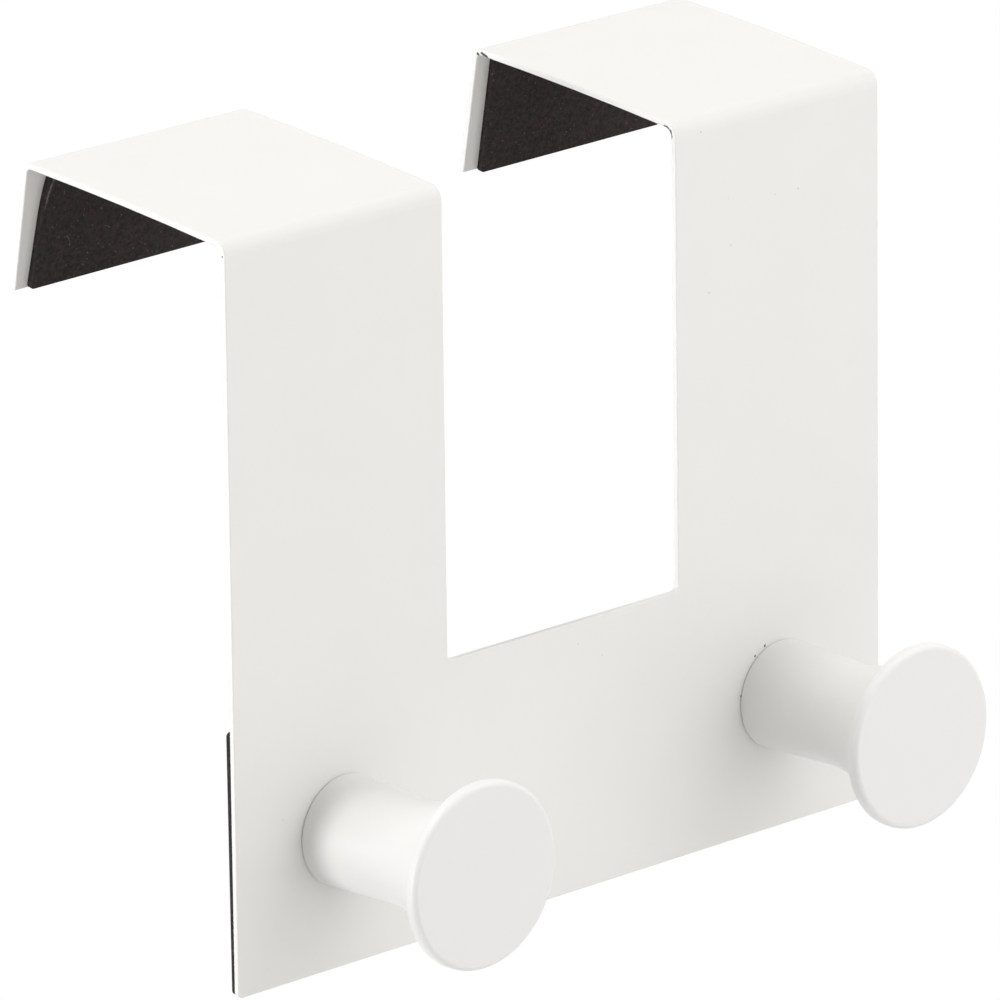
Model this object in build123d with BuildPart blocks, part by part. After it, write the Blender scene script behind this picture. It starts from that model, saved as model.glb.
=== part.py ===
from build123d import *
import os
from math import cos, radians, sin, tan

os.makedirs("parts", exist_ok=True)

# Over door hook, in millimetres and degrees. The origin is where the door's front top edge
# sits under the middle of the hook: the door fills +Y and -Z, and the pegs point to -Y.

# Door
door_thickness = 40.0
door_clearance = 2.0

# Folded sheet
sheet = 1.0
front_bend_radius = 1.5
rear_bend_radius = 0.75
strap_rise = 5.2
strap_bow = 0.3
lip_splay = 10.0
lip_length = 20.5
plate_drop = 120.0
strap_width = 45.0
slot_width = 50.0
band_height = 44.5
corner_radius = 1.0
coat_radius = 0.25

# Pads
pad_thickness = 1.0
pad_corner = 0.75
back_pad_side_margin = 0.4
back_pad_end_margin = 1.5
lip_pad_margin = 3.0
screw_window_clearance = 0.75

# Pegs
peg_length = 32.0
peg_base_diameter = 18.0
peg_waist_diameter = 17.0
peg_waist_height = 14.0
flare_diameter = 26.0
disc_diameter = 30.0
disc_thickness = 2.2
disc_front_radius = 0.9
disc_back_radius = 0.6
peg_seat_radius = 0.4

# Screws
screw_diameter = 4.0
screw_clearance = 0.3
thread_clearance = 0.05
screw_bite = 10.0
tap_run_out = 2.0
head_diameter = 8.0
head_height = 0.8
head_edge_radius = 0.3
recess_length = 4.4
recess_width = 1.0
recess_depth = 0.5

# Places worked out from the sizes above
plate_width = slot_width + 2 * strap_width
plate_back = -pad_thickness
plate_front = plate_back - sheet
lip_top = door_thickness + door_clearance + pad_thickness
slot_floor = band_height - plate_drop
peg_x = (slot_width + strap_width) / 2
peg_z = band_height / 2 - plate_drop
peg_places = [(-peg_x, peg_z), (peg_x, peg_z)]

# Corners of the sheet's door side, as (y, z), before its folds are rounded. The strap is a shallow
# arch between its two folds, and is set low enough to pass through the door's front top edge.
strap_span = lip_top - plate_back
edge_share = -plate_back / strap_span
edge_arch = 4 * strap_bow * edge_share * (1 - edge_share)
strap_slope = tan(radians(strap_rise))
plate_foot = (plate_back, -plate_drop)
front_fold = (plate_back, plate_back * strap_slope - edge_arch)
strap_middle = (plate_back + lip_top) / 2
strap_crown = (strap_middle, strap_middle * strap_slope - edge_arch + strap_bow)
rear_fold = (lip_top, lip_top * strap_slope - edge_arch)
lip_foot = (rear_fold[0] + lip_length * sin(radians(lip_splay)),
            rear_fold[1] - lip_length * cos(radians(lip_splay)))
fold_setback = rear_bend_radius * tan(radians(90 + strap_rise - lip_splay) / 2)

front_plane = Plane.XZ.offset(-plate_front)
back_plane = Plane.XZ.offset(-plate_back)


# The sheet: one folded section across the whole width, with the slot cut out between the straps
with BuildPart() as door_plate:
    with BuildSketch(Plane.YZ):
        with BuildLine() as door_side:
            Line(plate_foot, front_fold)
            ThreePointArc(front_fold, strap_crown, rear_fold)
            Line(rear_fold, lip_foot)
            fillet(door_side.vertices().sort_by_distance(front_fold)[0], front_bend_radius)
            fillet(door_side.vertices().sort_by_distance(rear_fold)[0], rear_bend_radius)
            offset(amount=sheet, side=Side.LEFT)
        make_face()
    extrude(amount=plate_width / 2, both=True)
    with BuildSketch(Plane.XZ) as slot:
        with Locations((0, slot_floor)):
            Rectangle(slot_width, 2 * plate_drop, align=(Align.CENTER, Align.MIN))
        fillet(slot.vertices().group_by(Axis.Z)[0], corner_radius)
    extrude(amount=2 * (lip_top + lip_length), both=True, mode=Mode.SUBTRACT)
    fillet(door_plate.edges().filter_by(Axis.Y).group_by(Axis.Z)[0], corner_radius)
    fillet(door_plate.edges(), coat_radius)
    with BuildSketch(front_plane):
        with Locations(*peg_places):
            Circle((screw_diameter + screw_clearance) / 2)
    extrude(amount=-sheet, mode=Mode.SUBTRACT)
door_plate.part.label = "door_plate"
export_step(door_plate.part, "parts/door_plate.step")


# The pegs: a turned spool, waisted below the disc, with a blind tapped hole in its foot
for side, (x, z) in zip(("left", "right"), peg_places):
    seat = Vector(x, plate_front, z)
    with BuildPart() as peg:
        with BuildSketch(Plane(seat, x_dir=(1, 0, 0), z_dir=(0, 0, -1))):
            with BuildLine():
                foot = Line((0, 0), (peg_base_diameter / 2, 0))
                shaft = Line(foot @ 1, (peg_waist_diameter / 2, peg_waist_height))
                flare = TangentArc(shaft @ 1, (flare_diameter / 2, peg_length - disc_thickness),
                                   tangent=shaft % 1)
                Polyline(flare @ 1, (disc_diameter / 2, peg_length - disc_thickness),
                         (disc_diameter / 2, peg_length), (0, peg_length), foot @ 0)
            make_face()
        revolve(axis=Axis(seat, (0, -1, 0)))
        rings = peg.edges().filter_by(GeomType.CIRCLE).sort_by(Axis.Y)
        fillet(rings[0], disc_front_radius)
        fillet(rings.filter_by(lambda ring: ring.radius > flare_diameter / 2)[1], disc_back_radius)
        fillet(rings[-1], peg_seat_radius)
        with BuildSketch(Plane(seat, x_dir=(1, 0, 0), z_dir=(0, -1, 0))):
            Circle(screw_diameter / 2 + thread_clearance)
        extrude(amount=screw_bite + tap_run_out, mode=Mode.SUBTRACT)
    peg.part.label = f"{side}_peg"
    export_step(peg.part, f"parts/{side}_peg.step")


# The screws: low heads on the back of the plate, shanks through it into the pegs
with BuildPart() as peg_screws:
    with BuildSketch(back_plane):
        with Locations(*peg_places):
            Circle(screw_diameter / 2)
    extrude(amount=sheet + screw_bite)
    with BuildSketch(back_plane):
        with Locations(*peg_places):
            Circle(head_diameter / 2)
    extrude(amount=-head_height)
    fillet(peg_screws.edges().filter_by(GeomType.CIRCLE).group_by(Axis.Y)[-1], head_edge_radius)
    with BuildSketch(back_plane.offset(-head_height)):
        with Locations(*peg_places):
            Rectangle(recess_length, recess_width)
            Rectangle(recess_width, recess_length)
    extrude(amount=recess_depth, mode=Mode.SUBTRACT)
peg_screws.part.label = "peg_screws"
export_step(peg_screws.part, "parts/peg_screws.step")


# The pad on the back of the lower band, with a window round each screw head
with BuildPart() as back_pad:
    with BuildSketch(back_plane):
        with Locations((0, peg_z)):
            RectangleRounded(plate_width - 2 * back_pad_side_margin,
                             band_height - 2 * back_pad_end_margin, pad_corner)
        with Locations(*peg_places):
            Circle(head_diameter / 2 + screw_window_clearance, mode=Mode.SUBTRACT)
    extrude(amount=-pad_thickness)
back_pad.part.label = "back_pad"
export_step(back_pad.part, "parts/back_pad.step")


# The pads on the lips, from the end of the fold to the lip's foot
lip_normal = (0, -cos(radians(lip_splay)), -sin(radians(lip_splay)))
for side, x in (("left", -peg_x), ("right", peg_x)):
    with BuildPart() as lip_pad:
        with BuildSketch(Plane((x, *rear_fold), x_dir=(1, 0, 0), z_dir=lip_normal)):
            with Locations((0, -lip_length)):
                RectangleRounded(strap_width - 2 * lip_pad_margin, lip_length - fold_setback,
                                 pad_corner, align=(Align.CENTER, Align.MIN))
        extrude(amount=pad_thickness)
    lip_pad.part.label = f"{side}_lip_pad"
    export_step(lip_pad.part, f"parts/{side}_lip_pad.step")
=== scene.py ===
"""Looks of an over door hook: satin white powder coat, black foam pads, zinc screws and a plain studio."""

from math import cos, pi, radians, sin, tan

import bmesh
import bpy
import numpy as np
from bpy.props import FloatProperty, FloatVectorProperty, PointerProperty
from bpy.types import Operator, Panel, PropertyGroup
from mathutils import Matrix, Vector


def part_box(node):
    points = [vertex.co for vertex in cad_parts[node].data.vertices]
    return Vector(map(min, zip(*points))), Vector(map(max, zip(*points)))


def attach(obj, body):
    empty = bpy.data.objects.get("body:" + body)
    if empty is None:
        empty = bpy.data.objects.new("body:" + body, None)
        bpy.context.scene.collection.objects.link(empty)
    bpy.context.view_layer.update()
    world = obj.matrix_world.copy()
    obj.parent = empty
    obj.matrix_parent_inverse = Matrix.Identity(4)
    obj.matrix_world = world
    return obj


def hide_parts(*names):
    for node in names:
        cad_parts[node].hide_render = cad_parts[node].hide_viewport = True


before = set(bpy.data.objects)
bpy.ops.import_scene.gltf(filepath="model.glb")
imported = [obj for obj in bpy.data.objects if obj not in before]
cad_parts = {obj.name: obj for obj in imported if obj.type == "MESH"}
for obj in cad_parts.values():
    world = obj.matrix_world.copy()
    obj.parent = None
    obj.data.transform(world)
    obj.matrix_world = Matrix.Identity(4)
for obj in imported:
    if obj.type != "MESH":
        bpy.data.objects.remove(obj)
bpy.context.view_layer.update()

bl_info = {
    "name": "Over Door Hook",
    "version": (1, 0, 0),
    "blender": (4, 5, 0),
    "location": "View3D > Sidebar > Door Hook",
    "description": "Coats, foam pads, screws and studio for an over door hook",
    "category": "Object",
}

MM = 0.001

# Camera, in pixels of the picture and millimetres of the sensor; lamps and floor, in metres
PHOTO_SIDE = 1000
SENSOR_WIDTH = 36.0
LAMP_DISTANCE = 1.2
FLOOR_HALF = 3.0
FLOOR_FADE = (0.3, 0.6)
FLOOR_LIFT = 0.35

# Polyester, foam and cotton alike; the last two scatter light in their pores, so they shine less
PLASTIC_IOR = 1.5
POROUS_SHINE = 0.15

# Edges sharper than this stay sharp; points closer than these are one, in metres
SHARP_EDGE = radians(50)
SAME_POINT = 1e-7
SAME_CUT_POINT = 0.02 * MM

# Stray fibres on each lip pad, and the seed that lays them out
LINT = {"left": (15, 4), "right": (6, 9)}

# Marks in the plate's coat, as x, y, z and radius in millimetres. Pinholes lie in the plate's face.
# Dark chip marks, partly flaked coat and partly painted shade, lie on the right strap's inner cut side,
# in an arc round the inside of the front fold and in a row across the rear fold, and a few lie at the
# left strap's front fold; those at the right peg's foot are painted contact shadow.
PLATE_FACE = -2.0
STRAP_CUT = 25.0
FOLD_MIDDLE = (0.5, -1.45)
MARK_ARC_RADIUS = 1.68
PLATE_PITS = [(x, PLATE_FACE, z, radius) for x, z, radius in (
    (30.6, -1.4, 0.2), (52.0, -14.8, 0.22), (46.9, -14.7, 0.15), (36.5, -13.3, 0.15), (37.1, -21.1, 0.15),
    (32.2, -27.9, 0.2), (2.9, -79.2, 0.15), (8.1, -82.3, 0.15), (-60.2, -93.2, 0.15))]
PLATE_CHIPS_AND_SHADE = [
    *((STRAP_CUT, FOLD_MIDDLE[0] + MARK_ARC_RADIUS * cos(t), FOLD_MIDDLE[1] + MARK_ARC_RADIUS * sin(t),
       0.14 + 0.24 * sin((t - radians(80)) * 1.7))
      for t in np.linspace(radians(92), radians(182), 13).tolist()),
    *((STRAP_CUT, 42.0 - 1.35 * s, 4.35 - 0.5 * s, 0.3) for s in np.linspace(0, 1, 7).tolist()),
    (STRAP_CUT, 42.75, 4.0, 0.4), (-70.0, -1.4, -1.3, 0.2),
    # Painted contact shadow: three dark dots on the plate next to the right peg's foot
    (44.2, PLATE_FACE, -89.0, 0.3), (42.0, PLATE_FACE, -90.2, 0.25), (38.8, PLATE_FACE, -96.2, 0.2),
]


def linear(code):
    """Turns an sRGB hex code into linear red, green and blue."""
    srgb = np.array([int(code[i:i + 2], 16) for i in (0, 2, 4)]) / 255
    return tuple(np.where(srgb <= 0.04045, srgb / 12.92, ((srgb + 0.055) / 1.055) ** 2.4).tolist())


def colour(name, description, code):
    """A colour property whose default is an sRGB hex code."""
    return FloatVectorProperty(name=name, description=description, subtype="COLOR", size=3,
                               min=0, max=1, default=linear(code))


def length(name, description, millimetres):
    """A length property whose default is given in millimetres."""
    return FloatProperty(name=name, description=description, subtype="DISTANCE", unit="LENGTH",
                         precision=5, default=millimetres * MM)


def angle(name, description, degrees):
    """An angle property whose default is given in degrees."""
    return FloatProperty(name=name, description=description, subtype="ANGLE", unit="ROTATION",
                         default=radians(degrees))


def power(name, description, watts):
    """A lamp's power property, in watts."""
    return FloatProperty(name=name, description=description, subtype="POWER", unit="POWER", default=watts)


class HookCoat(PropertyGroup):
    """Finish of the folded sheet, the pegs and the screws."""

    plate_light: colour("Plate coat", "The plate's powder coat where it lies thick", "E4E3E0")
    plate_thin: colour("Thin plate coat", "The plate's powder coat where it lies thin", "E1E0DC")
    # Painted highlight: a lighter coat colour on the cut sides, which face along X
    plate_edge_highlight: colour("Edge coat", "The plate's powder coat where it builds up on the cut edges", "EDECEA")
    # Painted shade: a greyer coat colour on the faces that turn round the folds
    plate_fold_shade: colour("Fold coat", "The plate's powder coat where it is thin round the folds", "DBDAD7")
    peg_light: colour("Peg coat", "The pegs' coat where it lies thick", "E4E3E1")
    peg_thin: colour("Thin peg coat", "The pegs' coat where it lies thin", "E1E0DE")
    pit: colour("Pit", "Grey seen at the bottom of a pinhole in the coat", "BDBAB4")
    # Chip colour: partly bare steel where the coat has flaked, partly painted shade at the folds' inner
    # edges and painted contact shadow at the right peg's foot
    chip_and_shade: colour("Chip", "Bare steel and dirt where the coat has flaked off a fold", "3B3A38")
    zinc: colour("Zinc", "Bright zinc plating on the screws", "C6C8C9")
    roughness: FloatProperty(name="Coat roughness", description="Satin, between gloss at 0 and matt at 1",
                             subtype="FACTOR", min=0, max=1, default=0.42)
    peel: length("Orange peel", "Width of the coat's shallow ripples", 1.1)
    peel_depth: length("Orange peel depth", "Height of the coat's shallow ripples", 0.03)
    patch: length("Coat patch", "Width of the areas where the coat is thicker or thinner", 14)
    mark_grain: length("Mark grain", "Width of the nicks in the rim of a pit or chip", 0.45)
    mark_nudge: length("Mark nudge", "How far the rim of a pit or chip is nicked", 0.5)


class HookPads(PropertyGroup):
    """Shape and finish of the foam pads."""

    lip_splay: angle("Lip splay", "How far the lips lean away from the door", 10)
    corner: length("Corner", "Corner radius of every pad, seen from its face", 0.75)
    edge: length("Edge", "Rounding of a pad's cut front edge", 0.2)
    swell: length("Swell", "How far the foam's face rises and falls", 0.05)
    left_turn: angle("Left foot turn", "How far out of level the left lip pad's lower edge is cut", 0.6)
    left_skew: angle("Left pad skew", "How far out of square the left lip pad's outer end is cut", 3.5)
    left_tuck: length("Left pad tuck", "How far the left lip pad's upper outer corner is drawn in", 0.85)
    left_lift: length("Left foot lift", "How much shorter the left lip pad is at its foot", 0.2)
    right_turn: angle("Right foot turn", "How far out of level the right lip pad's lower edge is cut", 0.45)
    right_drop: length("Right foot drop", "How much longer the right lip pad is at its foot", 0.17)
    right_reach: length("Right pad reach", "How much longer the right lip pad is at its outer end", 0.8)
    back_turn: angle("Back pad turn", "How far the back pad is stuck on askew", 0.3)
    back_spread: length("Back pad spread", "How much longer the back pad is at its two sides", 0.15)
    back_stretch: length("Back pad stretch", "How much longer the back pad is at its top and foot", 0.55)
    back_drop: length("Back pad drop", "How much lower than the middle the back pad is stuck on", 0.4)
    window: length("Screw window", "Diameter of the holes in the back pad round the screw heads", 9.5)
    foam: colour("Foam", "Warm black of the foam", "493E3E")
    foam_cool: colour("Cool foam", "Cooler black in some areas of the foam", "3D3D3B")
    foam_deep: colour("Foam cells", "Darker black in the open cells", "252121")
    dust: colour("Dust", "Pale dust caught in the foam's cells and along its frayed edge", "A39C97")
    lint: colour("Lint", "Stray fibres on the foam, greyed by dust", "6E6764")
    cell: length("Cell", "Size of the foam's cells as they are drawn", 0.4)
    mottle: length("Mottle", "Size of the blotches where more or fewer cells are open", 0.7)
    fibre: length("Fibre", "Thickness of a stray fibre of lint", 0.08)


class HookStage(PropertyGroup):
    """Camera, lamps and floor."""

    azimuth: angle("Camera azimuth", "Camera's turn to the left of the hook's front", 43.296)
    elevation: angle("Camera elevation", "Camera's height above the horizon", 17.118)
    roll: angle("Camera roll", "Camera's tilt about its line of sight", -0.664)
    distance: length("Camera distance", "From the camera to the point it aims at", 1794.9)
    aim: FloatVectorProperty(name="Aim", description="Point at the middle of the picture", unit="LENGTH",
                             subtype="XYZ", default=(-2.75 * MM, 9.45 * MM, -56.81 * MM))
    focal_pixels: FloatProperty(name="Focal length", description="Focal length in pixels of the photograph",
                                subtype="PIXEL", default=11448.3)
    key_power: power("Key soft box", "Lamp in front, above and to the right", 2.43)
    front_power: power("Front soft box", "Large lamp in front, a little to the right", 12.2)
    overhead_power: power("Overhead soft box", "Lamp above, to the right", 3.35)
    rear_power: power("Rear soft box", "Small lamp high on the left, behind", 5.4)
    left_power: power("Left soft box", "Small level lamp to the left, a little behind", 6.4)
    ambient: FloatProperty(name="Room", description="Light from the pale room on all sides", default=0.406)
    floor_drop: length("Floor", "How far the floor lies below the door's top edge", 500)
    floor_paper: colour("Paper", "Matt white paper of the floor", "E8E8E8")


def node(tree, kind, sockets=None, **settings):
    """Adds a node with its settings; each socket is given a value, or an output to link from."""
    made = tree.nodes.new(kind)
    for name, value in settings.items():
        setattr(made, name, value)
    for name, value in (sockets or {}).items():
        if isinstance(value, bpy.types.NodeSocket):
            tree.links.new(value, made.inputs[name])
        else:
            made.inputs[name].default_value = value
    return made


def rgba(linear_colour):
    """A node colour: linear red, green and blue with full alpha."""
    return (*linear_colour, 1.0)


def blank(name):
    """An empty node material and its tree."""
    material = bpy.data.materials.new(name)
    material.use_nodes = True
    material.node_tree.nodes.clear()
    return material, material.node_tree


def seen_directly(tree):
    """An output that is 1 for rays from the camera, a gloss or a clear surface, and 0 for the rest."""
    path = node(tree, "ShaderNodeLightPath")
    gloss = node(tree, "ShaderNodeMath", {
        0: path.outputs["Is Camera Ray"], 1: path.outputs["Is Glossy Ray"]}, operation="MAXIMUM")
    direct = node(tree, "ShaderNodeMath", {
        0: gloss.outputs["Value"], 1: path.outputs["Is Transmission Ray"]}, operation="MAXIMUM")
    return direct.outputs["Value"]


def dress(name, material):
    """Gives a CAD node one material."""
    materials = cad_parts[name].data.materials
    materials.clear()
    materials.append(material)


def powder_coat(name, light, thin, coat, folded=False, pits=(), chips_and_shade=()):
    """Satin powder coat, baked on steel: polyester, so IOR 1.5, with a soft broad gloss, shallow
    orange peel, slow drifts of thickness, and round marks where it is pitted or chipped, some of them
    painted shade. On a folded sheet the cut sides get a painted highlight and the faces round the
    folds get painted shade, both found by which way the surface faces.

    A mark is (x, y, z, radius) in millimetres, and is found by its distance from the surface point."""
    material, tree = blank(name)
    at = node(tree, "ShaderNodeTexCoord").outputs["Object"]
    drift = node(tree, "ShaderNodeTexNoise", {"Vector": at, "Scale": 1 / coat.patch, "Detail": 3.0})
    tone = node(tree, "ShaderNodeMix", {0: drift.outputs["Fac"], 6: rgba(light), 7: rgba(thin)},
                data_type="RGBA").outputs[2]
    if folded:
        # The cut sides face along X and get a painted highlight; a fold's face turns from Y to Z, so there
        # their product is large and the fold gets painted shade
        normal = node(tree, "ShaderNodeNewGeometry").outputs["Normal"]
        facing = node(tree, "ShaderNodeSeparateXYZ", {0: normal})
        turning = node(tree, "ShaderNodeMath", {0: facing.outputs["Y"], 1: facing.outputs["Z"]},
                       operation="MULTIPLY")
        # The first pair paints a highlight on the cut sides, the second paints shade round the folds
        for source, start, end, area_colour in ((facing.outputs["X"], 0.7, 0.95, coat.plate_edge_highlight),
                                                (turning.outputs["Value"], 0.1, 0.5, coat.plate_fold_shade)):
            amount = node(tree, "ShaderNodeMath", {0: source}, operation="ABSOLUTE")
            share = node(tree, "ShaderNodeMapRange", {
                "Value": amount.outputs["Value"], "From Min": start, "From Max": end})
            tone = node(tree, "ShaderNodeMix", {0: share.outputs["Result"], 6: tone, 7: rgba(area_colour)},
                        data_type="RGBA").outputs[2]
    ripple = node(tree, "ShaderNodeTexNoise", {"Vector": at, "Scale": 1 / coat.peel, "Detail": 1.0})
    height = ripple.outputs["Fac"]

    # Marks are ragged: the point is nudged by a fine noise before its distance is taken
    fine = node(tree, "ShaderNodeTexNoise", {"Vector": at, "Scale": 1 / coat.mark_grain, "Detail": 2.0})
    shift = node(tree, "ShaderNodeVectorMath", {0: fine.outputs["Color"], 1: (0.5, 0.5, 0.5)},
                 operation="SUBTRACT")
    nudge = node(tree, "ShaderNodeVectorMath", {0: shift.outputs["Vector"], "Scale": coat.mark_nudge},
                 operation="SCALE")
    ragged = node(tree, "ShaderNodeVectorMath", {0: at, 1: nudge.outputs["Vector"]}).outputs["Vector"]
    # Pits are pinholes in the coat; the chip marks are partly flaked coat and partly painted shade
    for marks, mark_colour in ((pits, coat.pit), (chips_and_shade, coat.chip_and_shade)):
        cover = None
        for x, y, z, radius in marks:
            reach = node(tree, "ShaderNodeVectorMath", {0: ragged, 1: (x * MM, y * MM, z * MM)},
                         operation="DISTANCE")
            dot = node(tree, "ShaderNodeMapRange", {
                "Value": reach.outputs["Value"], "From Min": radius * MM, "From Max": 0.5 * radius * MM,
                "To Min": 0.0, "To Max": 1.0}).outputs["Result"]
            cover = dot if cover is None else node(
                tree, "ShaderNodeMath", {0: cover, 1: dot}, operation="MAXIMUM").outputs["Value"]
        if cover is not None:
            tone = node(tree, "ShaderNodeMix", {0: cover, 6: tone, 7: rgba(mark_colour)},
                        data_type="RGBA").outputs[2]
            height = node(tree, "ShaderNodeMath", {0: height, 1: cover},
                          operation="SUBTRACT").outputs["Value"]

    relief = node(tree, "ShaderNodeBump", {"Height": height, "Strength": 0.25, "Distance": coat.peel_depth})
    skin = node(tree, "ShaderNodeBsdfPrincipled", {
        "Base Color": tone, "Roughness": coat.roughness, "IOR": PLASTIC_IOR,
        "Normal": relief.outputs["Normal"]})
    node(tree, "ShaderNodeOutputMaterial", {"Surface": skin.outputs["BSDF"]})
    return material


def zinc_plate(coat):
    """Bright zinc plating on steel: a cool grey metal with a fine drawn grain and a soft gloss."""
    material, tree = blank("zinc_plated_steel")
    at = node(tree, "ShaderNodeTexCoord").outputs["Object"]
    grain = node(tree, "ShaderNodeTexNoise", {"Vector": at, "Scale": 1 / (0.5 * MM), "Detail": 4.0})
    tone = node(tree, "ShaderNodeMapRange", {
        "Value": grain.outputs["Fac"], "To Min": 0.85, "To Max": 1.1})
    shade = node(tree, "ShaderNodeVectorMath", {0: tuple(coat.zinc), "Scale": tone.outputs["Result"]},
                 operation="SCALE")
    gloss = node(tree, "ShaderNodeMapRange", {
        "Value": grain.outputs["Fac"], "To Min": 0.28, "To Max": 0.44})
    skin = node(tree, "ShaderNodeBsdfPrincipled", {
        "Base Color": shade.outputs["Vector"], "Metallic": 1.0, "Roughness": gloss.outputs["Result"]})
    node(tree, "ShaderNodeOutputMaterial", {"Surface": skin.outputs["BSDF"]})
    return material


def cellular_foam(pads):
    """Closed-cell foam, slit from a block: matt warm black, mottled where the knife has opened more
    cells or fewer, with fine cells all over and a little pale dust in some of them. The real cells
    are about 0.2 mm, drawn at twice that to show."""
    material, tree = blank("slit_closed_cell_foam")
    at = node(tree, "ShaderNodeTexCoord").outputs["Object"]
    cells = node(tree, "ShaderNodeTexVoronoi", {"Vector": at, "Scale": 1 / pads.cell})
    blotch = node(tree, "ShaderNodeTexNoise", {
        "Vector": at, "Scale": 1 / pads.mottle, "Detail": 6.0, "Roughness": 0.75})
    area = node(tree, "ShaderNodeTexNoise", {"Vector": at, "Scale": 0.35 / pads.mottle, "Detail": 3.0})
    warmth = node(tree, "ShaderNodeMapRange", {
        "Value": area.outputs["Fac"], "From Min": 0.35, "From Max": 0.65})
    closed = node(tree, "ShaderNodeMapRange", {
        "Value": blotch.outputs["Fac"], "From Min": 0.3, "From Max": 0.72})
    skin_tone = node(tree, "ShaderNodeMix", {
        0: warmth.outputs["Result"], 6: rgba(pads.foam_cool), 7: rgba(pads.foam)},
        data_type="RGBA").outputs[2]
    tone = node(tree, "ShaderNodeMix", {
        0: closed.outputs["Result"], 6: rgba(pads.foam_deep), 7: skin_tone},
        data_type="RGBA").outputs[2]

    # Dust: the rarest cells, each with its own random value, show a pale speck at their middle
    rare = node(tree, "ShaderNodeSeparateColor", {"Color": cells.outputs["Color"]})
    speck = node(tree, "ShaderNodeMapRange", {
        "Value": rare.outputs["Red"], "From Min": 0.92, "From Max": 1.0, "To Min": 0.0, "To Max": 0.3})
    middle = node(tree, "ShaderNodeMapRange", {
        "Value": cells.outputs["Distance"], "From Min": 0.15, "From Max": 0.45,
        "To Min": 1.0, "To Max": 0.0})
    dusty = node(tree, "ShaderNodeMath", {0: speck.outputs["Result"], 1: middle.outputs["Result"]},
                 operation="MULTIPLY")

    # Fray: a pale line where the piece's own attribute says so, broken up by the blotches
    fray = node(tree, "ShaderNodeAttribute", attribute_name="fray")
    torn = node(tree, "ShaderNodeMapRange", {
        "Value": blotch.outputs["Fac"], "From Min": 0.38, "From Max": 0.6, "To Min": 0.0, "To Max": 0.8})
    streak = node(tree, "ShaderNodeMath", {0: fray.outputs["Fac"], 1: torn.outputs["Result"]},
                  operation="MULTIPLY")
    pale = node(tree, "ShaderNodeMath", {0: dusty.outputs["Value"], 1: streak.outputs["Value"]},
                operation="MAXIMUM")
    tone = node(tree, "ShaderNodeMix", {0: pale.outputs["Value"], 6: tone, 7: rgba(pads.dust)},
                data_type="RGBA").outputs[2]

    relief = node(tree, "ShaderNodeBump", {
        "Height": cells.outputs["Distance"], "Strength": 0.4, "Distance": 0.08 * MM})
    skin = node(tree, "ShaderNodeBsdfPrincipled", {
        "Base Color": tone, "Roughness": 0.95, "IOR": PLASTIC_IOR, "Specular IOR Level": POROUS_SHINE,
        "Normal": relief.outputs["Normal"]})
    node(tree, "ShaderNodeOutputMaterial", {"Surface": skin.outputs["BSDF"]})
    return material


def stray_fibre(pads):
    """Loose textile lint: a pale, matt cotton fibre, greyed by the dust on it."""
    material, tree = blank("loose_textile_lint")
    skin = node(tree, "ShaderNodeBsdfPrincipled", {
        "Base Color": rgba(pads.lint), "Roughness": 0.9, "IOR": PLASTIC_IOR,
        "Specular IOR Level": POROUS_SHINE})
    node(tree, "ShaderNodeOutputMaterial", {"Surface": skin.outputs["BSDF"]})
    return material


def slab(width, height, thickness, corner, edge, swell):
    """A foam pad as a section carried round a rounded rectangle.

    The path runs round the pad: at each step a centre (cx, cy) between -1 and 1 and a heading t. For
    an inset d the ring is ((a-d-r) cx + r cos t, (b-d-r) cy + r sin t), with half sides a and b and
    r = corner - d, never below 0. The section gives d and height h from the middle of the back,
    round the cut edge, to the middle of the face. The face then rises and falls by three slow waves,
    which die out towards the cut edge. Returns x, y and h, each sections by path steps."""
    a, b = width / 2, height / 2
    corner_steps, side_steps = 10, 40
    turn = np.linspace(0, pi / 2, corner_steps)
    run = np.linspace(-1, 1, side_steps + 2)[1:-1]
    quarter = np.repeat(np.arange(4), corner_steps + side_steps)
    heading = np.tile(np.concatenate([turn, np.full(side_steps, pi / 2)]), 4) + quarter * pi / 2
    along = np.tile(np.concatenate([np.full(corner_steps, -1.0), run]), 4)
    signs = np.array([(1, 1), (-1, 1), (-1, -1), (1, -1), (1, 1)], float)
    mix = ((along + 1) / 2)[:, None]
    cx, cy = ((1 - mix) * signs[quarter] + mix * signs[quarter + 1]).T

    back_steps, bend_steps, face_steps = 8, 7, 25
    bend = np.linspace(0, pi / 2, bend_steps)
    outwards = np.linspace(0, 1, back_steps)
    inwards = np.linspace(0, 1, face_steps + 1)[1:] ** 1.6
    d = np.concatenate([b * (1 - outwards), edge * (1 - np.cos(bend)),
                        edge + (b - edge) * inwards])[:, None]
    h = np.concatenate([np.zeros(back_steps), thickness - edge + edge * np.sin(bend),
                        np.full(face_steps, thickness)])[:, None]
    r = np.maximum(corner - d, 0)
    x = (a - d - r) * cx + r * np.cos(heading)
    y = (b - d - r) * cy + r * np.sin(heading)

    waves = (np.sin(x / (4.1 * MM) + 1.3) * np.sin(y / (3.3 * MM))
             + 0.6 * np.sin((x + 1.7 * y) / (2.6 * MM)) + 0.4 * np.sin((2.2 * x - y) / (1.9 * MM) + 0.7))
    h = h + swell * waves * (h > 0.9 * thickness) * np.clip(d / (1.5 * MM), 0, 1) / 2
    return x, y, np.broadcast_to(h, x.shape)


def tube_faces(rows, columns):
    """Quads of a grid whose columns close on themselves."""
    i, j = np.meshgrid(np.arange(rows - 1), np.arange(columns), indexing="ij")
    k = (j + 1) % columns
    return np.stack([i * columns + j, i * columns + k, (i + 1) * columns + k, (i + 1) * columns + j],
                    -1).reshape(-1, 4)


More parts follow.
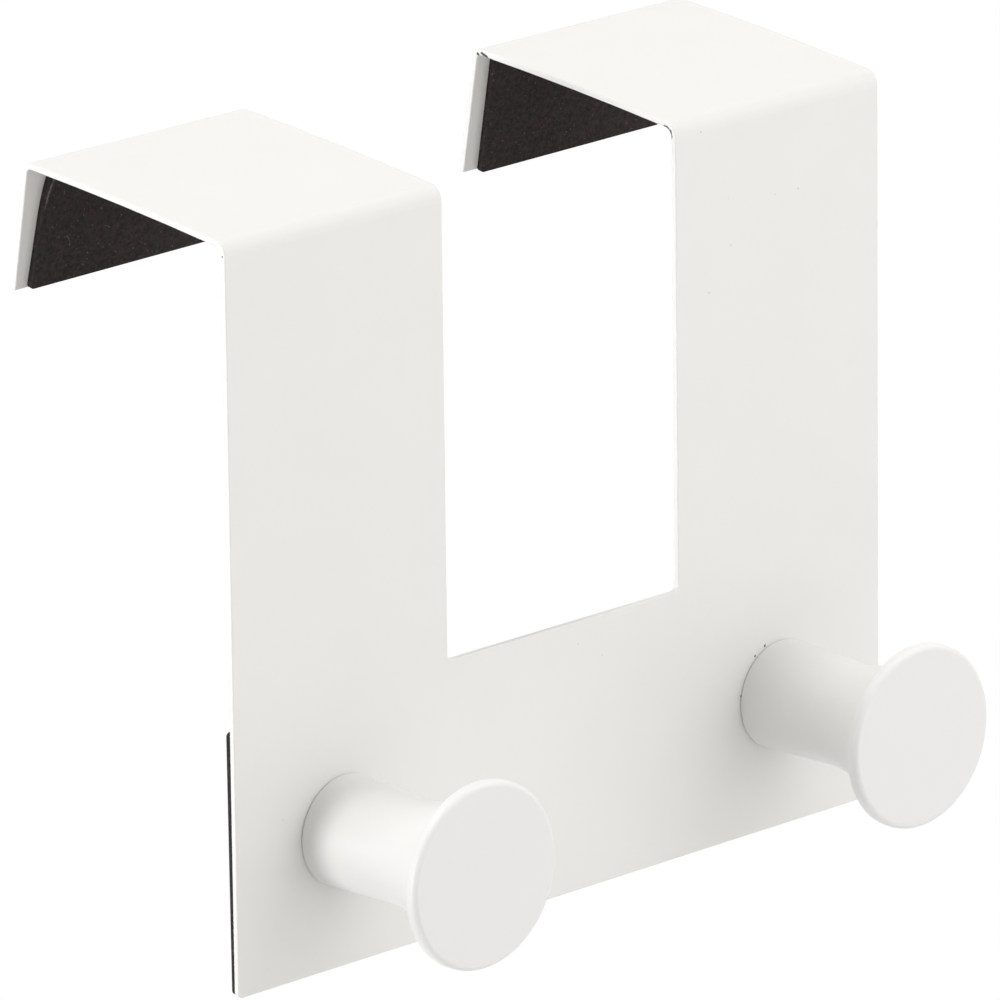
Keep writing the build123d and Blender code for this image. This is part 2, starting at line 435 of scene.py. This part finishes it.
def close_up(mesh, reach):
    """Merges points that lie within reach of each other, drops faces with no area, turns all faces
    outwards and marks the sharp edges."""
    shell = bmesh.new()
    shell.from_mesh(mesh)
    bmesh.ops.remove_doubles(shell, verts=shell.verts, dist=reach)
    bmesh.ops.dissolve_degenerate(shell, edges=shell.edges, dist=reach / 10)
    bmesh.ops.triangulate(shell, faces=[face for face in shell.faces if len(face.verts) > 4])
    bmesh.ops.recalc_face_normals(shell, faces=shell.faces)
    shell.to_mesh(mesh)
    shell.free()
    mesh.shade_smooth()
    mesh.set_sharp_from_angle(angle=SHARP_EDGE)


def make_piece(name, points, faces, fray=None):
    """A closed mesh object at the origin from point and face arrays; fray marks a worn line on foam."""
    mesh = bpy.data.meshes.new(name)
    mesh.from_pydata(points.reshape(-1, 3), [], faces)
    if fray is not None:
        marked = mesh.attributes.new("fray", "FLOAT", "POINT")
        marked.data.foreach_set("value", fray.ravel().astype(np.float32))
    close_up(mesh, SAME_POINT)
    piece = bpy.data.objects.new(name, mesh)
    bpy.context.scene.collection.objects.link(piece)
    return piece


def place(x, y, h, origin, across, up, out):
    """Points at origin + x across + y up + h out."""
    return (np.array(origin) + x[..., None] * np.array(across) + y[..., None] * np.array(up)
            + h[..., None] * np.array(out))


def turned(x, y, turn):
    """The flat shape turned about its middle."""
    return x * cos(turn) - y * sin(turn), x * sin(turn) + y * cos(turn)


def fibres(count, width, height, level, thickness, seed):
    """Short fibres on a pad's face, each an arc of its own bend carried as a square tube.

    A fibre starts at a random place with heading t, turns by a random bend over its length, and runs
    to a point at each end. Yields x, y and h of each fibre, as arrays of path steps by section steps."""
    path_steps, section_steps = 12, 4
    shortest, mean_rest = 0.4, 0.6
    most_bend = 2.4
    chance = np.random.default_rng(seed)
    along = np.linspace(0, 1, path_steps)
    round_section = np.linspace(0, 2 * pi, section_steps, endpoint=False)
    for _ in range(count):
        x0, y0 = chance.uniform(-0.46, 0.46) * width, chance.uniform(-0.44, 0.44) * height
        reach = (shortest + chance.exponential(mean_rest)) * MM
        heading = chance.uniform(0, 2 * pi) + chance.uniform(-most_bend, most_bend) * along
        step = reach / path_steps
        path_x = x0 + step * np.cumsum(np.cos(heading))
        path_y = y0 + step * np.cumsum(np.sin(heading))
        radius = (thickness / 2 * np.sqrt(1 - (2 * along - 1) ** 4))[:, None]
        across = radius * np.cos(round_section)
        yield (path_x[:, None] - across * np.sin(heading)[:, None],
               path_y[:, None] + across * np.cos(heading)[:, None],
               level + radius * np.sin(round_section))


def settle_pad(piece, cad_node, material):
    """Finishes a pad: its foam, its body, and the CAD solid that it stands for. A cut leaves
    an empty material on the mesh, which is taken off first."""
    piece.data.materials.clear()
    piece.data.materials.append(material)
    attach(piece, "root")
    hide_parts(cad_node)


class HOOK_OT_plate(Operator):
    """Coat the folded sheet"""

    bl_idname = "door_hook.plate"
    bl_label = "Plate coat"

    def execute(self, context):
        coat = context.scene.hook_coat
        dress("door_plate", powder_coat("satin_powder_coat_plate", coat.plate_light, coat.plate_thin, coat,
                                        True, PLATE_PITS, PLATE_CHIPS_AND_SHADE))
        return {"FINISHED"}


class HOOK_OT_pegs(Operator):
    """Coat the turned pegs"""

    bl_idname = "door_hook.pegs"
    bl_label = "Peg coat"

    def execute(self, context):
        coat = context.scene.hook_coat
        finish = powder_coat("satin_powder_coat_pegs", coat.peg_light, coat.peg_thin, coat)
        dress("left_peg", finish)
        dress("right_peg", finish)
        return {"FINISHED"}


class HOOK_OT_screws(Operator):
    """Plate the screws with zinc"""

    bl_idname = "door_hook.screws"
    bl_label = "Screw plating"

    def execute(self, context):
        dress("peg_screws", zinc_plate(context.scene.hook_coat))
        return {"FINISHED"}


class HOOK_OT_lip_pads(Operator):
    """Make the two foam pads on the lips"""

    bl_idname = "door_hook.lip_pads"
    bl_label = "Lip pads"

    def execute(self, context):
        pads = context.scene.hook_pads
        foam = bpy.data.materials.get("slit_closed_cell_foam") or cellular_foam(pads)
        lean, rise = sin(pads.lip_splay), cos(pads.lip_splay)
        for side, turn, lift in (("left", pads.left_turn, pads.left_lift),
                                 ("right", pads.right_turn, -pads.right_drop)):
            low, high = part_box(f"{side}_lip_pad")
            size = high - low
            thickness = (size.y * rise - size.z * lean) / (rise ** 2 - lean ** 2)
            tall = (size.z - thickness * lean) / rise
            x, y, h = slab(size.x, tall, thickness, pads.corner, pads.edge, pads.swell)

            # share goes from 1 at the pad's left end to 0 at its right, foot from 1 below to 0 above
            level = y / tall
            share, foot = np.clip(0.5 - x / size.x, 0, 1), np.clip(0.5 - level, 0, 1)
            fray = None
            if side == "left":
                fray = self.worn_line(x + size.x / 2, level) * (h > thickness / 2)
                upper = np.clip((level - 0.1) / 0.4, 0, 1)
                x = x + (tan(pads.left_skew) * y + pads.left_tuck * upper ** 2) * share
            else:
                x = x + pads.right_reach * (1 - share)
            y = y + (lift + x * tan(turn)) * foot
            origin = ((low.x + high.x) / 2, high.y - tall / 2 * lean,
                      low.z + thickness * lean + tall / 2 * rise)
            way = (origin, (1, 0, 0), (0, -lean, rise), (0, -rise, -lean))
            piece = make_piece(f"{side}_lip_foam", place(x, y, h, *way), tube_faces(*x.shape), fray)
            settle_pad(piece, f"{side}_lip_pad", foam)
            self.scatter_lint(side, size.x, tall, thickness, way, pads)
        return {"FINISHED"}

    def worn_line(self, from_end, level):
        """Strength of the frayed line on a pad's upper part: a narrow bell across a curve that leaves the
        pad's end as it rises. The level goes from -0.5 at the pad's foot to 0.5 at its top."""
        inset, sweep, width = 0.4 * MM, 1.0 * MM, 0.17 * MM
        curve = inset + sweep * np.clip((level - 0.2) / 0.28, 0, 1) ** 2
        return np.exp(-((from_end - curve) / width) ** 2) * np.clip(8 * (level - 0.15), 0, 1)

    def scatter_lint(self, side, width, tall, level, way, pads):
        """Lays a few stray fibres on the pad's face, more on the left pad, all as one piece."""
        count, seed = LINT[side]
        points, faces = [], []
        for x, y, h in fibres(count, width, tall, level, pads.fibre, seed):
            faces.append(tube_faces(*x.shape) + sum(len(each) for each in points))
            points.append(place(x, y, h, *way).reshape(-1, 3))
        piece = make_piece(f"{side}_lip_lint", np.concatenate(points), np.concatenate(faces))
        piece.data.materials.append(bpy.data.materials.get("loose_textile_lint") or stray_fibre(pads))
        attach(piece, "root")


class HOOK_OT_back_pad(Operator):
    """Make the foam pad on the back of the lower band, with a window round each screw head"""

    bl_idname = "door_hook.back_pad"
    bl_label = "Back pad"

    def execute(self, context):
        pads = context.scene.hook_pads
        foam = bpy.data.materials.get("slit_closed_cell_foam") or cellular_foam(pads)
        low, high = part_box("back_pad")
        size = high - low
        x, y, h = slab(size.x + 2 * pads.back_spread, size.z + 2 * pads.back_stretch, size.y,
                       pads.corner, pads.edge, pads.swell)
        x, y = turned(x, y, pads.back_turn)
        origin = ((low.x + high.x) / 2, low.y, (low.z + high.z) / 2 - pads.back_drop)
        piece = make_piece("back_foam", place(x, y, h, origin, (1, 0, 0), (0, 0, 1), (0, 1, 0)),
                           tube_faces(*x.shape))
        for side in ("left", "right"):
            self.cut_window(piece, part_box(f"{side}_peg"), low, high, pads.window / 2)
        close_up(piece.data, SAME_CUT_POINT)
        settle_pad(piece, "back_pad", foam)
        return {"FINISHED"}

    def cut_window(self, piece, peg_box, low, high, radius):
        """Cuts a round hole through the pad on the peg's axis, with a drum as the cutter."""
        middle = (peg_box[0] + peg_box[1]) / 2
        rim_steps = 64
        turn = np.linspace(0, 2 * pi, rim_steps, endpoint=False)
        reach = np.array([0, 1, 1, 0])[:, None] * radius
        deep = np.array([low.y - MM, low.y - MM, high.y + MM, high.y + MM])[:, None]
        x, z = middle.x + reach * np.cos(turn), middle.z + reach * np.sin(turn)
        points = np.stack([x, np.broadcast_to(deep, x.shape), z], -1)
        drum = make_piece("window_cutter", points, tube_faces(*x.shape))
        cut = piece.modifiers.new("window", "BOOLEAN")
        cut.operation, cut.object, cut.solver = "DIFFERENCE", drum, "MANIFOLD"
        seen = piece.evaluated_get(bpy.context.evaluated_depsgraph_get())
        mesh = bpy.data.meshes.new_from_object(seen)
        piece.modifiers.clear()
        old, piece.data = piece.data, mesh
        mesh.name = piece.name
        bpy.data.meshes.remove(old)
        bpy.data.objects.remove(drum)


def studio_floor(stage):
    """Matt white paper. Seen directly or in a gloss it is lifted to white, so that only the hook's
    shadow shows; far from the hook it is plain white, and from below it is clear."""
    material, tree = blank("matt_white_paper")
    at = node(tree, "ShaderNodeTexCoord").outputs["Object"]
    paper = node(tree, "ShaderNodeBsdfDiffuse", {"Color": rgba(stage.floor_paper)})
    lift = node(tree, "ShaderNodeEmission", {"Strength": FLOOR_LIFT})
    near = node(tree, "ShaderNodeAddShader", {0: paper.outputs["BSDF"], 1: lift.outputs["Emission"]})
    white = node(tree, "ShaderNodeEmission", {"Strength": 1.0})
    away = node(tree, "ShaderNodeVectorMath", {0: at, 1: (0, 0, -stage.floor_drop)}, operation="DISTANCE")
    far = node(tree, "ShaderNodeMapRange", {
        "Value": away.outputs["Value"], "From Min": FLOOR_FADE[0], "From Max": FLOOR_FADE[1]},
        interpolation_type="SMOOTHSTEP")
    seen = node(tree, "ShaderNodeMixShader", {
        0: far.outputs["Result"], 1: near.outputs["Shader"], 2: white.outputs["Emission"]})
    sheet = node(tree, "ShaderNodeMixShader", {
        0: seen_directly(tree), 1: paper.outputs["BSDF"], 2: seen.outputs["Shader"]})
    under = node(tree, "ShaderNodeNewGeometry").outputs["Backfacing"]
    clear = node(tree, "ShaderNodeBsdfTransparent")
    whole = node(tree, "ShaderNodeMixShader", {
        0: under, 1: sheet.outputs["Shader"], 2: clear.outputs["BSDF"]})
    node(tree, "ShaderNodeOutputMaterial", {"Surface": whole.outputs["Shader"]})
    return material


class HOOK_OT_stage(Operator):
    """Set up the camera, the soft boxes, the pale room and the floor"""

    bl_idname = "door_hook.stage"
    bl_label = "Stage"

    def execute(self, context):
        stage = context.scene.hook_stage
        context.scene.view_settings.view_transform = "Standard"
        self.camera(context, stage)
        self.lamps(context, stage)
        self.room(context, stage)
        corners = FLOOR_HALF * np.array([(-1, -1), (1, -1), (1, 1), (-1, 1)])
        points = np.column_stack([corners, np.full(4, -stage.floor_drop)])
        mesh = bpy.data.meshes.new("floor")
        mesh.from_pydata(points, [], [(0, 1, 2, 3)])
        floor = bpy.data.objects.new("floor", mesh)
        context.scene.collection.objects.link(floor)
        mesh.materials.append(studio_floor(stage))
        return {"FINISHED"}

    def camera(self, context, stage):
        """A long lens at the photograph's viewing angle."""
        a, e, r = stage.azimuth, stage.elevation, stage.roll
        back = Vector((-sin(a) * cos(e), -cos(a) * cos(e), sin(e)))
        level = Vector((cos(a), -sin(a), 0))
        upright = back.cross(level)
        right = cos(r) * level + sin(r) * upright
        up = -sin(r) * level + cos(r) * upright
        data = bpy.data.cameras.new("camera")
        data.sensor_width = SENSOR_WIDTH
        data.lens = stage.focal_pixels / PHOTO_SIDE * SENSOR_WIDTH
        data.clip_start, data.clip_end = 0.05, 50
        camera = bpy.data.objects.new("camera", data)
        context.scene.collection.objects.link(camera)
        turn = Matrix((right, up, back)).transposed().to_4x4()
        camera.matrix_world = Matrix.Translation(Vector(stage.aim) + stage.distance * back) @ turn
        context.scene.camera = camera

    def lamps(self, context, stage):
        """Square soft boxes, aimed at the hook, each with its turn to the right of the hook's front and
        its height above the horizon in degrees, its side and its power."""
        aim = Vector(stage.aim)
        for name, turn, rise, side, watts in (("key_soft_box", 35, 35, 1.0, stage.key_power),
                                              ("front_soft_box", 20, 15, 2.0, stage.front_power),
                                              ("overhead_soft_box", 90, 70, 0.9, stage.overhead_power),
                                              ("rear_soft_box", -120, 60, 0.45, stage.rear_power),
                                              ("left_soft_box", -106, 0, 0.35, stage.left_power)):
            a, e = radians(turn), radians(rise)
            way = Vector((sin(a) * cos(e), -cos(a) * cos(e), sin(e)))
            data = bpy.data.lights.new(name, "AREA")
            data.shape, data.size, data.energy = "SQUARE", side, watts
            lamp = bpy.data.objects.new(name, data)
            context.scene.collection.objects.link(lamp)
            facing = way.to_track_quat("Z", "Y").to_matrix().to_4x4()
            lamp.matrix_world = Matrix.Translation(aim + LAMP_DISTANCE * way) @ facing

    def room(self, context, stage):
        """The pale room: soft light on the hook, and white wherever it is seen directly or in a gloss."""
        world = bpy.data.worlds.new("room")
        context.scene.world = world
        world.use_nodes = True
        tree = world.node_tree
        tree.nodes.clear()
        soft = node(tree, "ShaderNodeBackground", {"Color": rgba((1, 1, 1)), "Strength": stage.ambient})
        white = node(tree, "ShaderNodeBackground", {"Color": rgba((1, 1, 1)), "Strength": 1.0})
        both = node(tree, "ShaderNodeMixShader", {
            0: seen_directly(tree), 1: soft.outputs["Background"], 2: white.outputs["Background"]})
        node(tree, "ShaderNodeOutputWorld", {"Surface": both.outputs["Shader"]})


class HOOK_PT_panel(Panel):
    """Lists the hook's pieces and its stage"""

    bl_idname = "HOOK_PT_panel"
    bl_label = "Door Hook"
    bl_space_type = "VIEW_3D"
    bl_region_type = "UI"
    bl_category = "Door Hook"

    def draw(self, context):
        for group in (context.scene.hook_coat, context.scene.hook_pads, context.scene.hook_stage):
            for name in group.__annotations__:
                self.layout.prop(group, name)
        for operator in OPERATORS:
            self.layout.operator(operator.bl_idname)


OPERATORS = (HOOK_OT_plate, HOOK_OT_pegs, HOOK_OT_screws, HOOK_OT_lip_pads, HOOK_OT_back_pad,
             HOOK_OT_stage)
CLASSES = (HookCoat, HookPads, HookStage, *OPERATORS, HOOK_PT_panel)


def register():
    for each in CLASSES:
        bpy.utils.register_class(each)
    bpy.types.Scene.hook_coat = PointerProperty(type=HookCoat)
    bpy.types.Scene.hook_pads = PointerProperty(type=HookPads)
    bpy.types.Scene.hook_stage = PointerProperty(type=HookStage)


def unregister():
    del bpy.types.Scene.hook_stage, bpy.types.Scene.hook_pads, bpy.types.Scene.hook_coat
    for each in reversed(CLASSES):
        bpy.utils.unregister_class(each)


def main():
    register()
    bpy.ops.door_hook.plate()
    bpy.ops.door_hook.pegs()
    bpy.ops.door_hook.screws()
    bpy.ops.door_hook.lip_pads()
    bpy.ops.door_hook.back_pad()
    bpy.ops.door_hook.stage()


if __name__ == "__main__":
    main()
